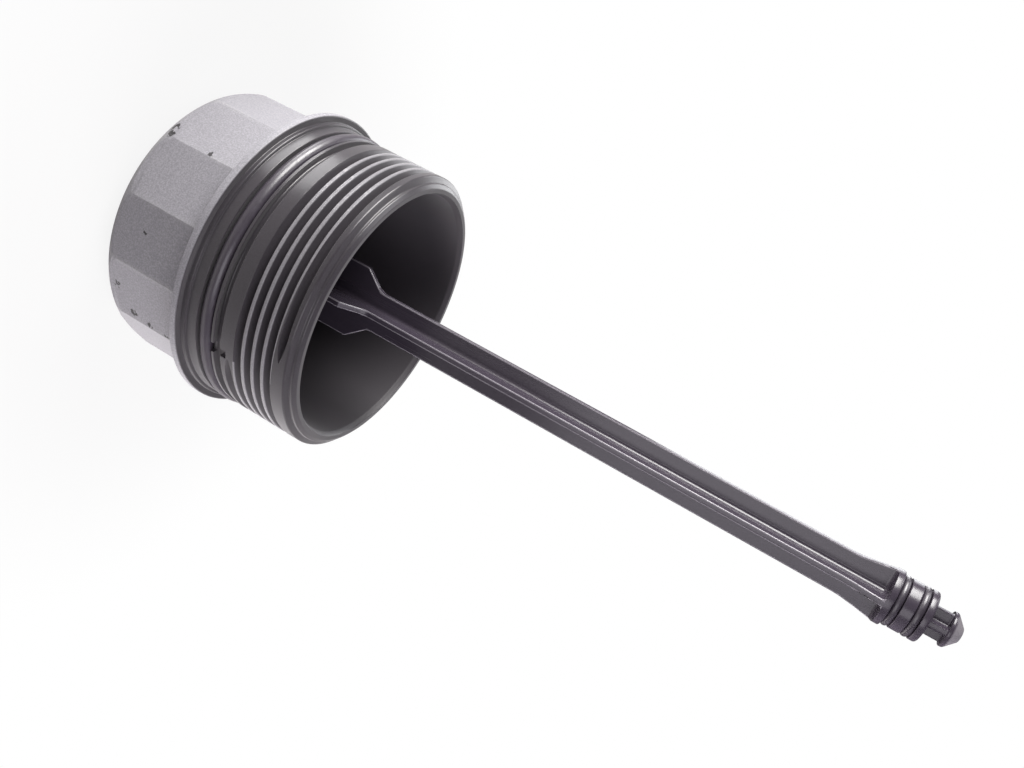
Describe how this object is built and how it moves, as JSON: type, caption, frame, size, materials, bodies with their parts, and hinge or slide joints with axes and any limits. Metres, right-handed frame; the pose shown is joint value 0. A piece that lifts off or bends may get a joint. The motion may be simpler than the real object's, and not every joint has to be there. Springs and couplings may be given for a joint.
{
  "type": "oil filter housing cap",
  "caption": "Screw-on oil filter housing cap: domed wrench head, flange, sealing ring, coarse outside thread, and a long cross-shaped stem with a sealed tip.",
  "frame": {"origin": "centre of the flat top of the wrench head, on which the cap stands", "axes": "+Z runs along the axis from the head to the tip of the stem; the stem's fins point along +X, -X, +Y and -Y"},
  "size_m": [0.084, 0.084, 0.2206],
  "materials": {
    "cap_plastic": "black glass-filled nylon, dull, with scuffed edges on the wrench head",
    "stem_plastic": "black glass-filled nylon, smooth, slightly shiny",
    "ring_rubber": "black rubber, oily and shiny"
  },
  "bodies": {
    "root": {"cap_shell": "cap_plastic", "cap_o_ring": "ring_rubber", "stem": "stem_plastic", "stem_o_ring_lower": "ring_rubber", "stem_o_ring_upper": "ring_rubber"}
  },
  "joints": []
}
